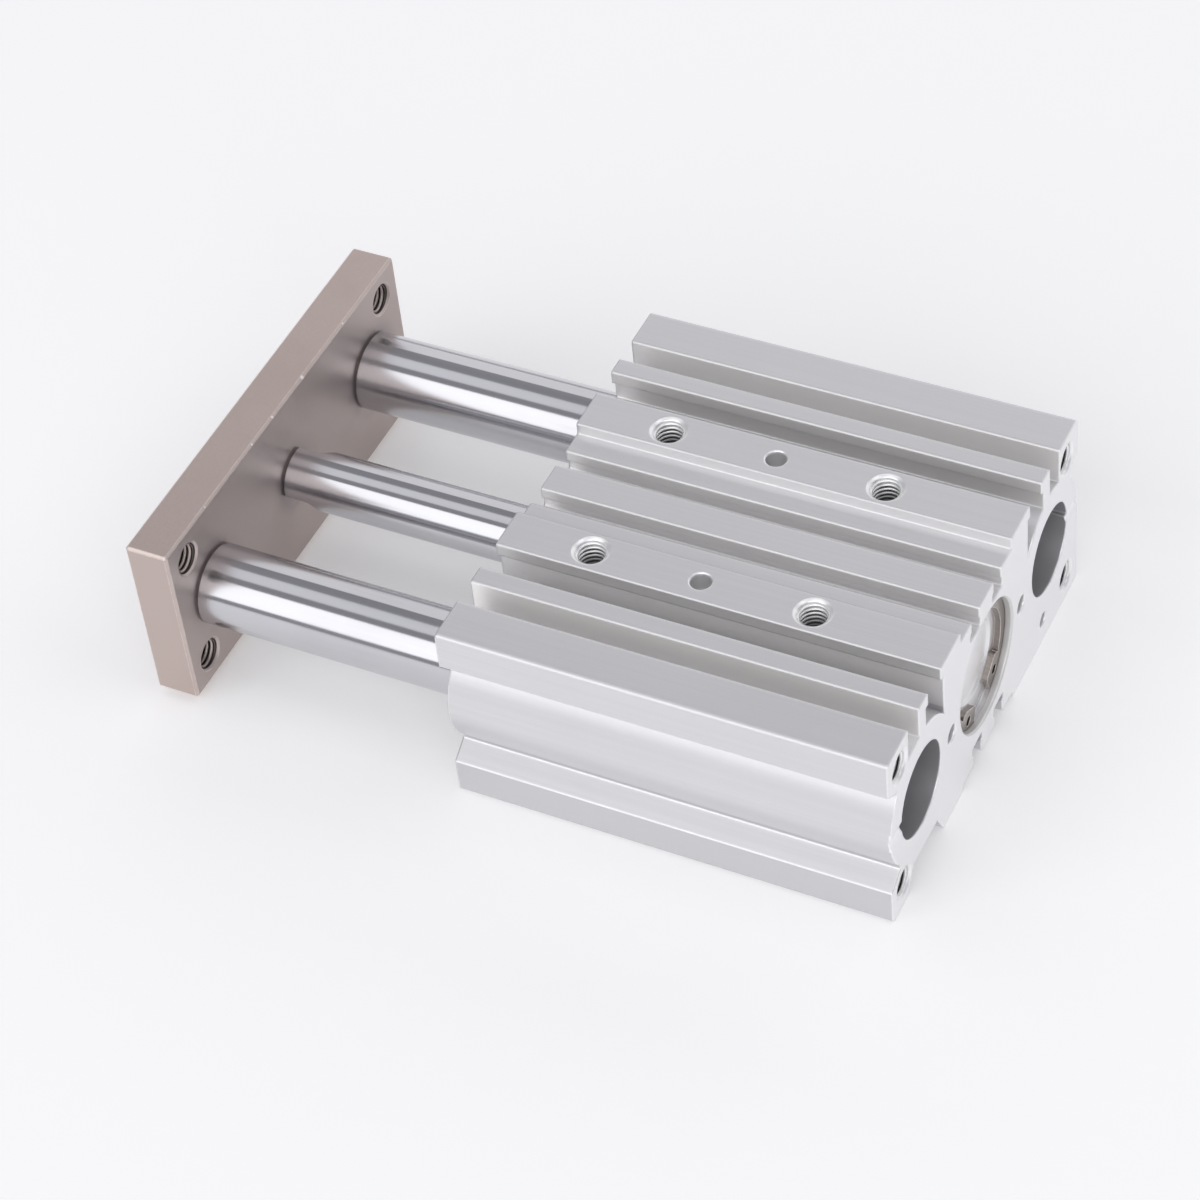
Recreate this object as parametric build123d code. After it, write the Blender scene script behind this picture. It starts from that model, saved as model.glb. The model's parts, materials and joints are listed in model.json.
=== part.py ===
from build123d import *
from math import asin, cos, degrees, radians, sin, sqrt, tan
import os

# Guided pneumatic cylinder, in millimetres. X runs along the stroke, from the rear face of the body to
# the end plate, and +Z is up. The origin is on the cylinder's axis in the rear face. The rods are drawn
# fully out.

# Cylinder and stroke
stroke = 50.0
base_length = 37.5  # length of the body that isn't stroke
bore_radius = 12.5
piston_rod_radius = 6.0
guide_rod_radius = 8.0
retracted_gap = 7.0  # between body and end plate when the rods are in

# Body section
body_width = 93.0
corner_round = 1.0
edge_round = 0.4
tube_radius = 14.0  # outside of the tube round each guide rod
tube_setback = 0.5  # how far the tube stays inside the body's side
hollow_radius = 9.3  # extruded hollow behind the guide bushes
notch_width = 1.2  # small groove that the die leaves along the hollow
notch_depth = 1.0
notch_z = 0.5  # above the axis
flange_face = 8.1  # height of the flat outer face of each flange
pocket_depth = 4.1  # how far the side pocket goes in below the flange
pocket_drop = 2.6  # fall of the flange's slanted underside
shelf_half_width = 12.5
shelf_depth = 2.5  # sensor shelf below the top face
port_shelf_depth = 1.5  # the same shelf on the port side
rib_half_width = 3.4  # rib between the two sensor grooves
sensor_web = 1.1  # wall between the top sensor grooves and the bore
sensor_neck = 3.9
sensor_neck_depth = 2.4
sensor_width = 5.2
sensor_height = 2.5
sensor_round = 0.8
slot_inset = 7.2  # from the guide rod's axis inward to the T-slot
slot_neck = 6.1
slot_width = 8.4
slot_lip = 2.8
groove_offset = 2.55  # from the guide rod's axis outward to the outer groove
groove_width = 5.1
recess_depth = 5.3  # relief under the near guide tube
recess_floor_width = 11.1
recess_mouth_width = 16.8
recess_offset = 1.25  # from the guide rod's axis inward to the floor's middle

# Holes in the body
mount_inset = 4.5  # from the bore's wall out to the mounting holes
mount_front_x = 17.2  # from the front face
mount_rear_x = 26.3  # from the rear face
mount_thread_radius = 3.0
mount_thread_depth = 12.0
mount_thread_chamfer = 0.65
mount_thread_slope = tan(radians(37))  # wide, flat countersink
mount_hole_radius = 2.7
mount_head_radius = 4.75
mount_head_depth = 9.0
dowel_radius = 2.0
dowel_depth = 4.0
dowel_drill_radius = 1.85
dowel_drill_extra = 1.5  # the drill goes this much deeper than the reamer
end_thread_radius = 3.0
end_thread_depth = 12.0
end_thread_inset = 5.5  # from the body's side, top and bottom
tap_drill_radius = 2.6
tap_drill_extra = 2.5  # the drill goes this much deeper than the thread
thread_chamfer = 0.5
pin_chamfer = 0.25
blind_radius = 1.9  # small blind holes between the bore and the guide hollows
blind_depth = 9.0
blind_inset = 4.8  # from the bore's wall
blind_drop = 0.5  # below the axis
vent_width = 2.6  # shallow round-bottomed vent from each guide hollow to the side
vent_depth = 0.45

# Air ports and passages
port_radius = 4.85
port_depth = 8.0
port_chamfer = 0.6
port_inset = 3.5  # from the guide rod's axis inward to the bottom ports
port_rear_x = 11.2  # from the rear face
port_front_x = 11.5  # from the front face
side_port_z = 7.0  # above the bottom face
side_port_land = 1.2  # between the end hole's drill and the rear side port
passage_radius = 1.5
slant_offset = 2.5  # from a port's axis outward to the drilling into the bore, at the port's mouth
link_radius = 1.6  # drilling from the rear face through the rear port
link_z = 5.5  # above the bottom face
plug_length = 6.5
plug_setback = 0.6
plug_socket = 5.0  # across flats
plug_socket_depth = 3.2
ball_depth = 3.2  # from the rear face

# Bore mouths, covers and rings
mouth_step = 0.5  # the mouths are this much larger in radius than the bore
rear_seat_depth = 8.0
front_seat_depth = 8.5
mouth_chamfer = 0.4
ring_setback = 1.6
ring_thickness = 1.2
ring_groove_depth = 0.8
ring_width = 2.9
ring_taper = 0.3  # how much the rings thin out towards their gap
ring_ear = (6.4, 4.8, 1.2)  # length, height and rounding of an ear
ring_eye_radius = 1.0
ring_gap_angle = 37.0
ring_turn = -5.0  # of the head cover's ring, from having its gap straight down
cover_pilot = 1.6  # head cover beyond its seat
cover_neck_radius = 11.0
face_dish_radius = 8.5  # shallow turned dish in the head cover
face_dish_depth = 0.5
seal_groove_depth = 1.2
seal_groove_width = 2.0
seal_side_gap = 0.08  # a seal and the sides of its groove
seal_bevel = 0.3
bumper_width = 1.7
bumper_depth = 1.5  # how deep a bumper sits
bumper_proud = 0.5
bumper_inset = 0.8
rod_bush_wall = 1.5
rod_bush_land = 2.0  # between the rod's bush and its seal
bush_bevel = 0.3
rod_hole_gap = 0.25
rod_seal_width = 3.0
rod_seal_height = 2.9
rod_seal_lip = 0.7

# Piston
piston_length = 11.0
piston_play = 0.2  # left between piston and bumper at each end
piston_gap = 0.25
piston_chamfer = 0.8
wear_ring_width = 3.0
wear_ring_depth = 1.0
piston_seal_width = 3.0
piston_seal_depth = 2.4
piston_ring_bevel = 0.2
magnet_width = 2.4
magnet_depth = 2.0
piston_land = 0.6
tail_radius = 4.0
tail_head_radius = 4.8
tail_ring_width = 1.4
tail_ring_height = 1.1
tail_ring_bevel = 0.2
rod_flats = 10.0  # across the two spanner flats beside the end plate
rod_flat_length = 4.5
rod_flat_cutter = 4.0  # radius of the cutter that leaves their rounded ends
rod_flat_turn = 49.0  # of the flats about the rod, from level

# Guide rods, bushes and wipers
guide_rod_setback = 1.0  # from the body's rear face when the rods are in
guide_bush_wall = 1.6
guide_bush_length = 12.0
guide_seat_length = 34.0  # machined length of the guide bore
wiper_height = 2.5
wiper_width = 2.8
wiper_setback = 0.5
wiper_lip = 0.5
wiper_heel = 0.9  # outer part of the wiper, which the ring holds
wiper_ring_thickness = 1.0
wiper_ring_width = 1.5
wiper_ring_ear = (2.6, 2.6, 0.8)
wiper_eye_radius = 0.5
rod_chamfer = 0.5

# End plate and its screws
plate_thickness = 9.0
plate_inset_y = 1.0  # how far the plate stays inside the body's sides
plate_inset_z = 2.0  # how far it stays inside the body's top and bottom
plate_chamfer = 0.5
plate_thread_radius = 3.0
plate_thread_inset_y = 6.5
plate_thread_inset_z = 6.0
guide_screw_radius = 4.0
guide_screw_head = 7.6
guide_screw_length = 22.0
guide_screw_socket = 5.0
rod_screw_radius = 3.0
rod_screw_head = 5.8
rod_screw_length = 18.0
rod_screw_socket = 4.0
screw_recess = 0.2
socket_depth = 2.4
screw_bevel = 0.5
tap_extra = 2.0  # a tapped hole goes this much past its screw

# Clearances
running_gap = 0.03  # a bush and its rod
sliding_gap = 0.05  # a seal or wear ring and what it slides on
seat_gap = 0.02  # a piece and the seat that holds it
overshoot = 1.0  # how far a cutting tool stands out of the face that it cuts

# Places that follow from the sizes
body_length = base_length + stroke
half_width = body_width / 2
sensor_depth = sensor_neck_depth + sensor_height
top_z = bore_radius + sensor_web + sensor_depth + shelf_depth
bottom_z = -top_z
body_height = top_z - bottom_z
guide_y = half_width - tube_setback - tube_radius
slot_y = guide_y - slot_inset
groove_y = guide_y + groove_offset
mount_y = bore_radius + mount_inset
mouth_radius = bore_radius + mouth_step
port_y = guide_y - port_inset
plate_x = body_length + retracted_gap + stroke
plate_half_width = half_width - plate_inset_y
plate_half_height = top_z - plate_inset_z
mount_xs = [mount_rear_x, body_length - mount_front_x]
port_xs = [port_rear_x, body_length - port_front_x]
side_port_rear_x = end_thread_depth + tap_drill_extra + side_port_land + port_radius
side_port_xs = [side_port_rear_x, body_length - port_front_x]
head_inner_x = rear_seat_depth + cover_pilot
piston_rear_x = head_inner_x + bumper_proud + piston_play + stroke
piston_front_x = piston_rear_x + piston_length
rod_cover_x = piston_front_x + bumper_proud + piston_play
front_ring_x = body_length - ring_setback - ring_thickness
rod_seal_x = front_ring_x - rod_seal_lip - rod_seal_width
rod_bush_end = rod_seal_x - rod_bush_land
guide_seat_x = body_length - guide_seat_length
guide_seat_radius = guide_rod_radius + running_gap + guide_bush_wall
wiper_radius = guide_rod_radius + sliding_gap + wiper_height
wiper_ring_x = body_length - wiper_setback - wiper_ring_thickness
wiper_x = wiper_ring_x - wiper_width
sides = {"near": 1, "far": -1}


# Shared shapes


def along_x(radius, start, end, y=0.0):
    """Cylinder along X from start to end."""
    return Pos((start + end) / 2, y, 0) * Rot(0, 90, 0) * Cylinder(radius, end - start)


def turned(points, y=0.0):
    """Solid turned about an axis along X, from points of place along X and radius."""
    outline = Plane.XZ * make_face(Polyline(points, close=True))
    return Pos(0, y, 0) * revolve(outline, Axis.X)


def bevelled_ring(inner, outer, start, end, bevel, y=0.0):
    """Ring with its four edges bevelled, for seals, bushes and bumpers."""
    points = [
        (start + bevel, inner),
        (end - bevel, inner),
        (end, inner + bevel),
        (end, outer - bevel),
        (end - bevel, outer),
        (start + bevel, outer),
        (start, outer - bevel),
        (start, inner + bevel),
    ]
    return turned(points, y)


def drill(radius, depth, chamfer=0.0, slope=1.0):
    """Cutting tool for a hole whose mouth is at the origin and which goes down.

    The slope is the chamfer's depth over its width.
    """
    tool = Pos(0, 0, (overshoot - depth) / 2) * Cylinder(radius, depth + overshoot)
    if chamfer > 0:
        sink = slope * chamfer
        tool += Pos(0, 0, -sink / 2) * Cone(radius, radius + chamfer, sink)
        tool += Pos(0, 0, overshoot / 2) * Cylinder(radius + chamfer, overshoot)
    return tool


def drilled_at(tool, x, y, z, outward):
    """Place a cutting tool with its mouth at a point and its way out along outward."""
    return Plane(origin=(x, y, z), z_dir=outward) * tool


def retaining_ring(outer, width, thickness, ear, eye):
    """Internal retaining ring in the YZ plane, with its gap and two eyed ears at the bottom."""
    length, height, rounding = ear
    middle = outer - height / 2
    half_gap = ring_gap_angle / 2
    corner_y = 2 * outer * sin(radians(half_gap))
    corner_z = -2 * outer * cos(radians(half_gap))
    cut = make_face(Polyline([(0, 0), (corner_y, corner_z), (-corner_y, corner_z)], close=True))
    ring = Circle(outer) - Pos(0, -ring_taper) * Circle(outer - width)
    turn = half_gap + degrees(asin(length / (2 * middle)))
    for way in (turn, -turn):
        place = Rot(0, 0, way) * Pos(0, -middle)
        ring += place * RectangleRounded(length, height, rounding)
        cut += place * Circle(eye)
    return extrude(Plane.YZ * ((ring & Circle(outer)) - cut), amount=thickness)


def countersunk_screw(face_x, y, radius, head, length, socket):
    """Socket screw with a countersunk head, its head towards +X."""
    top = face_x - screw_recess
    rim = top - screw_recess
    thread = radius - sliding_gap
    cone_end = rim - (head - thread)
    tip = face_x - length
    profile = [(tip, 0), (tip, thread - screw_bevel), (tip + screw_bevel, thread), (cone_end, thread)]
    profile += [(rim, head), (top, head), (top, 0)]
    hexagon = Plane(origin=(top, y, 0), z_dir=(1, 0, 0)) * RegularPolygon(socket / 2, 6, major_radius=False)
    return turned(profile, y) - extrude(hexagon, amount=-socket_depth)


# Body


def mirrored(shape):
    """A sketch and its mirror image across the middle of the section."""
    return shape + mirror(shape, Plane.YZ)


def sensor_cut(face_z, shelf, direction):
    """Shelf with its two sensor grooves, cut into the top (1) or the bottom (-1) of the section."""
    floor = face_z - direction * shelf
    chamber_z = floor - direction * (sensor_neck_depth + sensor_height / 2)
    middle = rib_half_width + sensor_neck / 2
    shelf_height = shelf + overshoot
    cut = Pos(0, floor + direction * shelf_height / 2) * Rectangle(2 * shelf_half_width, shelf_height)
    neck_height = abs(floor - chamber_z)
    neck = Pos(middle, (floor + chamber_z) / 2) * Rectangle(sensor_neck, neck_height)
    chamber = Pos(middle, chamber_z) * RectangleRounded(sensor_width, sensor_height, sensor_round)
    return cut + mirrored(neck + chamber)


def slot_cut():
    """T-slot and outer groove on the near side of the top, both down to the guide tube."""
    reach = top_z + overshoot
    lip_z = top_z - slot_lip
    neck = Pos(slot_y, reach / 2) * Rectangle(slot_neck, reach)
    wide = Pos(slot_y, lip_z / 2) * Rectangle(slot_width, lip_z)
    groove = Pos(groove_y, reach / 2) * Rectangle(groove_width, reach)
    return neck + wide + groove - Pos(guide_y, 0) * Circle(tube_radius)


def pocket_cut(lower):
    """Side pocket round the near guide tube; lower says whether it goes on below the middle."""
    edge_z = top_z - flange_face
    tip_y = half_width - pocket_depth
    tip_z = edge_z - pocket_drop
    slope = pocket_drop / pocket_depth
    out_y = half_width + overshoot
    out_z = edge_z + slope * overshoot
    points = [(out_y, out_z), (tip_y, tip_z)]
    if lower:
        points += [(tip_y, -tip_z), (out_y, -out_z)]
    else:
        points += [(tip_y, 0), (out_y, 0)]
    return make_face(Polyline(points, close=True)) - Pos(guide_y, 0) * Circle(tube_radius)


def recess_cut():
    """Relief under the near guide tube, wider at its mouth."""
    floor_z = bottom_z + recess_depth
    middle = guide_y - recess_offset
    floor = recess_floor_width / 2
    mouth = recess_mouth_width / 2
    points = [(middle - mouth, bottom_z), (middle + mouth, bottom_z), (middle + floor, floor_z)]
    points += [(middle - floor, floor_z)]
    return make_face(Polyline(points, close=True))


def rounded_edges(section):
    """Round the four outer corners, and more lightly the edges of the grooves and of the sensor rib."""
    touch = seat_gap / 2
    corners = [v for v in section.vertices() if abs(v.X) > half_width - touch and abs(v.Y) > top_z - touch]
    section = fillet(corners, corner_round)
    edges = []
    for v in section.vertices():
        on_face = abs(v.Y) > top_z - touch and abs(v.X) < half_width - 2 * corner_round
        on_rib = abs(v.Y - top_z + shelf_depth) < touch and abs(v.X) < shelf_half_width - touch
        if on_face or on_rib:
            edges.append(v)
    return fillet(edges, edge_round)


def body_section():
    """Cross-section of the extrusion, drawn with Y to the right and Z up."""
    section = Rectangle(body_width, body_height)
    section -= sensor_cut(top_z, shelf_depth, 1)
    section -= sensor_cut(bottom_z, port_shelf_depth, -1)
    section -= mirrored(slot_cut())
    section -= pocket_cut(True)
    section -= mirror(pocket_cut(False), Plane.YZ)
    section -= recess_cut()
    return rounded_edges(section)


def bore_cuts():
    """Cylinder bore with its two mouths, ring grooves and mouth chamfers."""
    groove_radius = mouth_radius + ring_groove_depth
    seat_x = body_length - front_seat_depth
    cuts = [along_x(bore_radius, -overshoot, body_length + overshoot)]
    cuts.append(along_x(mouth_radius, -overshoot, rear_seat_depth))
    cuts.append(along_x(mouth_radius, seat_x, body_length + overshoot))
    for x in (ring_setback, front_ring_x):
        cuts.append(along_x(groove_radius, x - seat_gap, x + ring_thickness + seat_gap))
    wide = mouth_radius + mouth_chamfer
    cuts.append(turned([(0, 0), (mouth_chamfer, 0), (mouth_chamfer, mouth_radius), (0, wide)]))
    front = body_length - mouth_chamfer
    cuts.append(turned([(body_length, 0), (front, 0), (front, mouth_radius), (body_length, wide)]))
    return cuts


def guide_cuts(side):
    """Hollow, bush seat, wiper seat, ring groove and vent of one guide tube."""
    y = side * guide_y
    groove_radius = wiper_radius + ring_groove_depth
    ring_end = wiper_ring_x + wiper_ring_thickness + seat_gap
    cuts = [along_x(hollow_radius, -overshoot, body_length, y)]
    cuts.append(along_x(guide_seat_radius, guide_seat_x, body_length + overshoot, y))
    cuts.append(along_x(wiper_radius, wiper_x, body_length + overshoot, y))
    cuts.append(along_x(groove_radius, wiper_ring_x - seat_gap, ring_end, y))
    notch = Box(guide_seat_x + overshoot, 2 * notch_depth, notch_width)
    cuts.append(Pos((guide_seat_x - overshoot) / 2, side * (guide_y + hollow_radius), notch_z) * notch)
    vent_reach = half_width + overshoot - guide_y
    cutter_radius = (vent_width**2 / 4 + vent_depth**2) / (2 * vent_depth)
    vent = Rot(90, 0, 0) * Cylinder(cutter_radius, vent_reach)
    cuts.append(Pos(vent_depth - cutter_radius, side * (guide_y + vent_reach / 2), 0) * vent)
    return cuts


def mounting_cuts():
    """Tapped holes in the top, counterbored from below, with a dowel hole between each two."""
    thread = drill(mount_thread_radius, mount_thread_depth, mount_thread_chamfer, mount_thread_slope)
    through = drill(mount_hole_radius, body_height)
    head = drill(mount_head_radius, mount_head_depth)
    dowel = drill(dowel_radius, dowel_depth, pin_chamfer)
    dowel += drill(dowel_drill_radius, dowel_depth + dowel_drill_extra)
    middle_x = sum(mount_xs) / 2
    cuts = []
    for side in sides.values():
        y = side * mount_y
        for x in mount_xs:
            cuts.append(drilled_at(thread, x, y, top_z, (0, 0, 1)))
            cuts.append(drilled_at(through, x, y, bottom_z, (0, 0, -1)))
            cuts.append(drilled_at(head, x, y, bottom_z, (0, 0, -1)))
        cuts.append(drilled_at(dowel, middle_x, y, top_z, (0, 0, 1)))
    return cuts


def end_cuts():
    """Tapped holes in the four corners of the rear face, and the two blind holes beside the bore."""
    thread = drill(end_thread_radius, end_thread_depth, thread_chamfer)
    thread += drill(tap_drill_radius, end_thread_depth + tap_drill_extra)
    blind = drill(blind_radius, blind_depth, pin_chamfer)
    cuts = []
    for side in sides.values():
        y = side * (half_width - end_thread_inset)
        for z in (top_z - end_thread_inset, bottom_z + end_thread_inset):
            cuts.append(drilled_at(thread, 0, y, z, (-1, 0, 0)))
        cuts.append(drilled_at(blind, 0, side * (bore_radius + blind_inset), -blind_drop, (-1, 0, 0)))
    return cuts


def air_cuts():
    """Ports in the bottom and the side, the drillings that join them and the slanted ones into the bore."""
    port = drill(port_radius, port_depth, port_chamfer)
    mouth_y = port_y + slant_offset
    slanted = drill(passage_radius, (mouth_y + top_z) / sqrt(2))
    cross = drill(passage_radius, half_width - port_y)
    link = drill(link_radius, side_port_rear_x + 2 * passage_radius)
    cuts = [drilled_at(link, 0, -port_y, bottom_z + link_z, (-1, 0, 0))]
    for x in port_xs:
        cuts.append(drilled_at(port, x, -port_y, bottom_z, (0, 0, -1)))
        cuts.append(drilled_at(slanted, x, -mouth_y, bottom_z, (0, -1, -1)))
    for x in side_port_xs:
        cuts.append(drilled_at(port, x, -half_width, bottom_z + side_port_z, (0, -1, 0)))
        cuts.append(drilled_at(cross, x, -half_width, bottom_z + link_z, (0, -1, 0)))
    return cuts


def body():
    """Extruded body with everything that is machined into it."""
    extrusion = extrude(Plane.YZ * body_section(), amount=body_length)
    cuts = bore_cuts() + mounting_cuts() + end_cuts() + air_cuts()
    for side in sides.values():
        cuts += guide_cuts(side)
    return extrusion - cuts


# Rear end of the bore


def head_cover():
    """Turned disc that closes the rear of the bore, with a seal groove and a groove for the bumper."""
    start = ring_setback + ring_thickness
    rim = mouth_radius - seat_gap
    pilot = bore_radius - seat_gap
    groove_start = (start + rear_seat_depth - seal_groove_width) / 2
    groove_end = groove_start + seal_groove_width
    groove_radius = mouth_radius - seal_groove_depth
    bumper_outer = pilot - bumper_inset
    bumper_inner = bumper_outer - bumper_width
    bumper_floor = head_inner_x - bumper_depth
    dish = start + face_dish_depth
    profile = [(dish, 0), (dish, face_dish_radius - face_dish_depth), (start, face_dish_radius)]
    profile += [(start, rim - edge_round), (start + edge_round, rim), (groove_start, rim)]
    profile += [(groove_start, groove_radius), (groove_end, groove_radius), (groove_end, rim)]
    profile += [(rear_seat_depth, rim), (rear_seat_depth, pilot), (head_inner_x, pilot)]
    profile += [(head_inner_x, bumper_outer), (bumper_floor, bumper_outer), (bumper_floor, bumper_inner)]
    profile += [(head_inner_x, bumper_inner), (head_inner_x, 0)]
    return turned(profile)


def head_cover_ring():
    """Internal retaining ring that holds the head cover, turned a little."""
    outer = mouth_radius + ring_groove_depth - 2 * sliding_gap
    ring = retaining_ring(outer, ring_width, ring_thickness, ring_ear, ring_eye_radius)
    return Pos(ring_setback, 0, 0) * Rot(ring_turn, 0, 0) * ring


def cover_o_ring(seat_start, seat_end):
    """Seal ring in the groove of a cover that sits between two places along X."""
    start = (seat_start + seat_end - seal_groove_width) / 2 + seal_side_gap
    end = (seat_start + seat_end + seal_groove_width) / 2 - seal_side_gap
    inner = mouth_radius - seal_groove_depth + seat_gap
    return bevelled_ring(inner, mouth_radius - seat_gap, start, end, seal_bevel)


def bumper(face_x, direction):
    """Rubber stop in a cover's groove; direction is the way it stands out of the face."""
    outer_wall = bore_radius - seat_gap - bumper_inset
    if direction < 0:
        outer_wall = cover_neck_radius - bumper_inset
    outer = outer_wall - seat_gap
    inner = outer_wall - bumper_width + seat_gap
    floor = face_x - direction * (bumper_depth - seat_gap)
    tip = face_x + direction * bumper_proud
    return bevelled_ring(inner, outer, min(floor, tip), max(floor, tip), seal_bevel)


# Front end of the bore


def rod_cover():
    """Front cover with a bush pocket, a rod seal groove, a static seal groove and a bumper groove."""
    seat_x = body_length - front_seat_depth
    rim = mouth_radius - seat_gap
    groove_start = (seat_x + front_ring_x - seal_groove_width) / 2
    groove_end = groove_start + seal_groove_width
    groove_radius = mouth_radius - seal_groove_depth
    bush_radius = piston_rod_radius + running_gap + rod_bush_wall
    seal_end = rod_seal_x + rod_seal_width
    seal_radius = piston_rod_radius + rod_seal_height
    rod_hole = piston_rod_radius + rod_hole_gap
    bumper_outer = cover_neck_radius - bumper_inset
    bumper_inner = bumper_outer - bumper_width
    bumper_floor = rod_cover_x + bumper_depth
    profile = [(rod_cover_x, bush_radius), (rod_cover_x, bumper_inner), (bumper_floor, bumper_inner)]
    profile += [(bumper_floor, bumper_outer), (rod_cover_x, bumper_outer), (rod_cover_x, cover_neck_radius)]
    profile += [(seat_x, cover_neck_radius), (seat_x, rim), (groove_start, rim)]
    profile += [(groove_start, groove_radius), (groove_end, groove_radius), (groove_end, rim)]
    profile += [(front_ring_x, rim), (front_ring_x, rod_hole), (seal_end, rod_hole)]
    profile += [(seal_end, seal_radius), (rod_seal_x, seal_radius), (rod_seal_x, rod_hole)]
    profile += [(rod_bush_end, rod_hole), (rod_bush_end, bush_radius)]
    return turned(profile)


def rod_bush():
    """Plain bush that guides the piston rod."""
    inner = piston_rod_radius + running_gap
    outer = inner + rod_bush_wall - seat_gap
    return bevelled_ring(inner, outer, rod_cover_x + seat_gap, rod_bush_end - seat_gap, bush_bevel)


def rod_seal():
    """Lip seal of the piston rod; its lips open towards the piston."""
    start = rod_seal_x + seal_side_gap
    end = rod_seal_x + rod_seal_width - seal_side_gap
    inner = piston_rod_radius + sliding_gap
    outer = piston_rod_radius + rod_seal_height - seat_gap
    middle = (inner + outer) / 2
    wall = (outer - inner) / 4
    root = (start + end) / 2
    profile = [(start, inner), (end, inner + wall / 2), (end, outer - wall / 2), (start, outer)]
    profile += [(start, outer - wall), (root, middle), (start, inner + wall)]
    return turned(profile)


def rod_cover_ring():
    """Internal retaining ring that holds the rod cover."""
    outer = mouth_radius + ring_groove_depth - 2 * sliding_gap
    ring = retaining_ring(outer, ring_width, ring_thickness, ring_ear, ring_eye_radius)
    return Pos(front_ring_x, 0, 0) * ring


# Piston and piston rod


def piston_groove_starts():
    """Where the wear ring's, the seal's and the magnet's groove start, from the rear."""
    spare = piston_length - wear_ring_width - piston_seal_width - magnet_width - 2 * piston_land
    wear_start = piston_rear_x + spare / 2
    seal_start = wear_start + wear_ring_width + piston_land
    magnet_start = seal_start + piston_seal_width + piston_land
    return wear_start, seal_start, magnet_start


def piston():
    """Piston with three grooves, a countersunk rear for the riveted rod and a seat for its small seal."""
    outer = bore_radius - piston_gap
    profile = [(piston_rear_x, 0), (piston_rear_x, outer - piston_chamfer)]
    profile += [(piston_rear_x + piston_chamfer, outer)]
    widths = [wear_ring_width, piston_seal_width, magnet_width]
    depths = [wear_ring_depth, piston_seal_depth, magnet_depth]
    for start, width, depth in zip(piston_groove_starts(), widths, depths):
        floor = bore_radius - depth
        profile += [(start, outer), (start, floor), (start + width, floor), (start + width, outer)]
    profile += [(piston_front_x - piston_chamfer, outer), (piston_front_x, outer - piston_chamfer)]
    profile += [(piston_front_x, 0)]
    blank = turned(profile)
    hole = along_x(tail_radius, piston_rear_x - overshoot, piston_front_x + overshoot)
    head_depth = tail_head_radius - tail_radius
    sink_end = piston_rear_x + head_depth
    sink_points = [(piston_rear_x, 0), (piston_rear_x, tail_head_radius)]
    sink = turned(sink_points + [(sink_end, tail_radius), (sink_end, 0)])
    seat_start = piston_front_x - tail_ring_width
    ring_seat = along_x(tail_radius + tail_ring_height, seat_start, piston_front_x + overshoot)
    return blank - [hole, sink, ring_seat]


def grooved_ring(index, width, depth, outer):
    """Ring that sits in one of the piston's grooves."""
    groove_start = piston_groove_starts()[index]
    start = groove_start + seal_side_gap
    end = groove_start + width - seal_side_gap
    inner = bore_radius - depth + seat_gap
    return bevelled_ring(inner, outer, start, end, piston_ring_bevel)


def piston_o_ring():
    """Small static seal between piston and rod."""
    inner = tail_radius + seat_gap
    outer = tail_radius + tail_ring_height - seat_gap
    start = piston_front_x - tail_ring_width + seat_gap
    return bevelled_ring(inner, outer, start, piston_front_x - seat_gap, tail_ring_bevel)


def rod_flat():
    """Cutting tool for one spanner flat, on top of the piston rod's front end."""
    start = plate_x - rod_flat_length
    length = rod_flat_length + overshoot
    middle_z = (rod_flats + rod_flat_cutter) / 2
    block = Box(length, 2 * piston_rod_radius, rod_flat_cutter)
    end = Rot(90, 0, 0) * Cylinder(rod_flat_cutter, 2 * piston_rod_radius)
    end_z = rod_flats / 2 + rod_flat_cutter
    return Pos(start + length / 2, 0, middle_z) * block + Pos(start, 0, end_z) * end


def piston_rod():
    """Chromed rod with a riveted tail at the piston and a flatted, tapped end at the plate."""
    tail = tail_radius - seat_gap
    head = tail_head_radius - seat_gap
    shoulder = piston_front_x
    profile = [(piston_rear_x, 0), (piston_rear_x, head), (piston_rear_x + head - tail, tail)]
    profile += [(shoulder, tail), (shoulder, piston_rod_radius - rod_chamfer)]
    profile += [(shoulder + rod_chamfer, piston_rod_radius), (plate_x - rod_chamfer, piston_rod_radius)]
    profile += [(plate_x, piston_rod_radius - rod_chamfer), (plate_x, 0)]
    tap = along_x(rod_screw_radius, plate_x - tap_depth(rod_screw_length), plate_x + overshoot)
    flats = [Rot(rod_flat_turn + half_turn, 0, 0) * rod_flat() for half_turn in (0, 180)]
    return turned(profile) - [tap, *flats]


# Guide rods and what they run in


def tap_depth(screw_length):
    """Depth of the tapped hole in a rod's end for a screw through the plate."""
    return screw_length - plate_thickness + tap_extra


def guide_rod(side):
    """Chromed guide rod with bevelled ends and a tapped front end."""
    start = guide_rod_setback + stroke
    inner = guide_rod_radius - rod_chamfer
    profile = [(start, 0), (start, inner), (start + rod_chamfer, guide_rod_radius)]
    profile += [(plate_x - rod_chamfer, guide_rod_radius), (plate_x, inner), (plate_x, 0)]
    y = side * guide_y
    tap = along_x(guide_screw_radius, plate_x - tap_depth(guide_screw_length), plate_x + overshoot, y)
    return turned(profile, y) - tap


def guide_bush(side, start):
    """Slide bearing pressed into the guide tube."""
    inner = guide_rod_radius + running_gap
    outer = guide_seat_radius - seat_gap
    return bevelled_ring(inner, outer, start, start + guide_bush_length, bush_bevel, side * guide_y)


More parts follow.
